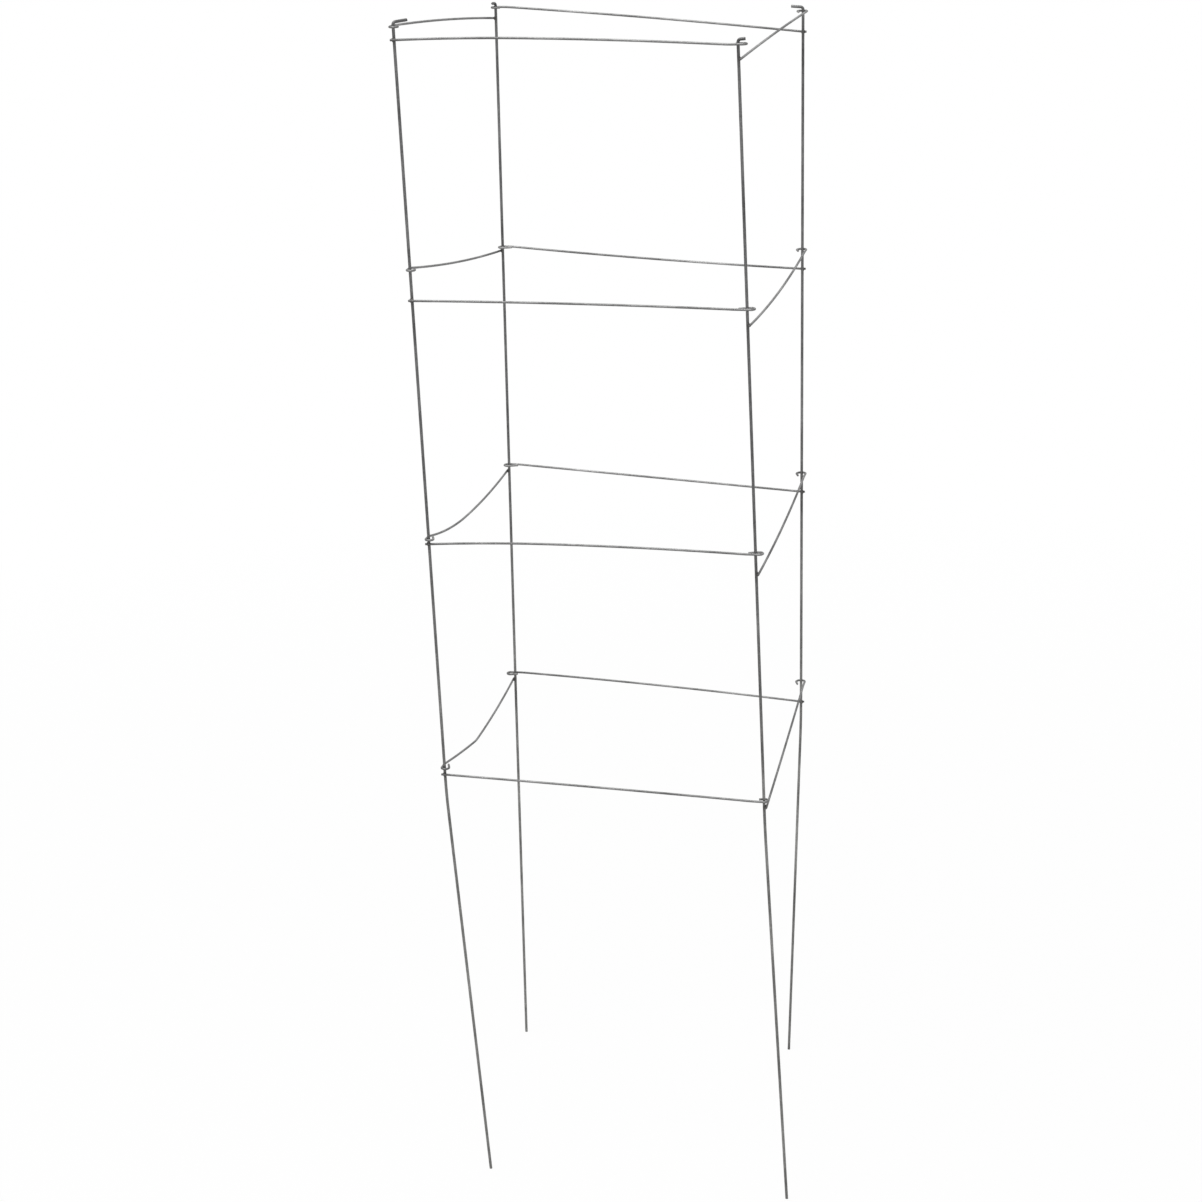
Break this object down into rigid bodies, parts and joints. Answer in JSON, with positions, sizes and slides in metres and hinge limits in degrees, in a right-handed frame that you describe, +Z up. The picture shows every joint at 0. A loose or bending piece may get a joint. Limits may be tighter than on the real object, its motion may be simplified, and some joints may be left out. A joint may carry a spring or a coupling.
{
  "type": "tomato cage",
  "caption": "Tall square folding plant cage of bare galvanised wire: hooked leg wires end in stakes, and cross wires welded to one leg hinge by looped eyes on the next.",
  "frame": {"origin": "on the floor under the middle of the square of legs, level with the stake tips", "axes": "+Z up the cage, +X along the front panel from its own leg to its eyes, +Y from the front panel to the back panel"},
  "size_m": [0.3365, 0.3206, 1.1232],
  "materials": {
    "leg_wire": "dull galvanised, satin",
    "cross_wire": "galvanised, satin, a little brighter than the legs"
  },
  "bodies": {
    "front_panel": {"front_left_leg": "leg_wire", "front_wire_1": "cross_wire", "front_wire_2": "cross_wire", "front_wire_3": "cross_wire", "front_wire_4": "cross_wire"},
    "right_panel": {"front_right_leg": "leg_wire", "right_wire_1": "cross_wire", "right_wire_2": "cross_wire", "right_wire_3": "cross_wire", "right_wire_4": "cross_wire"},
    "back_panel": {"back_right_leg": "leg_wire", "back_wire_1": "cross_wire", "back_wire_2": "cross_wire", "back_wire_3": "cross_wire", "back_wire_4": "cross_wire"},
    "left_panel": {"back_left_leg": "leg_wire", "left_wire_1": "cross_wire", "left_wire_2": "cross_wire", "left_wire_3": "cross_wire", "left_wire_4": "cross_wire"}
  },
  "joints": [
    {"name": "right_fold", "type": "hinge", "parent": "front_panel", "child": "right_panel", "pos_m": [0.15, -0.15, 0.752], "axis": [-0.0148, -0.0148, 0.9998], "range_deg": [-85, 85]},
    {"name": "left_fold", "type": "hinge", "parent": "front_panel", "child": "left_panel", "pos_m": [-0.15, -0.15, 0.752], "axis": [-0.0148, 0.0148, 0.9998], "range_deg": [-85, 85]},
    {"name": "back_fold", "type": "hinge", "parent": "left_panel", "child": "back_panel", "pos_m": [-0.15, 0.15, 0.752], "axis": [0.0148, 0.0148, 0.9998], "range_deg": [-85, 85]}
  ],
  "couplings": [
    {"joint": "left_fold", "follows": "right_fold", "ratio": 1},
    {"joint": "back_fold", "follows": "right_fold", "ratio": -1}
  ]
}
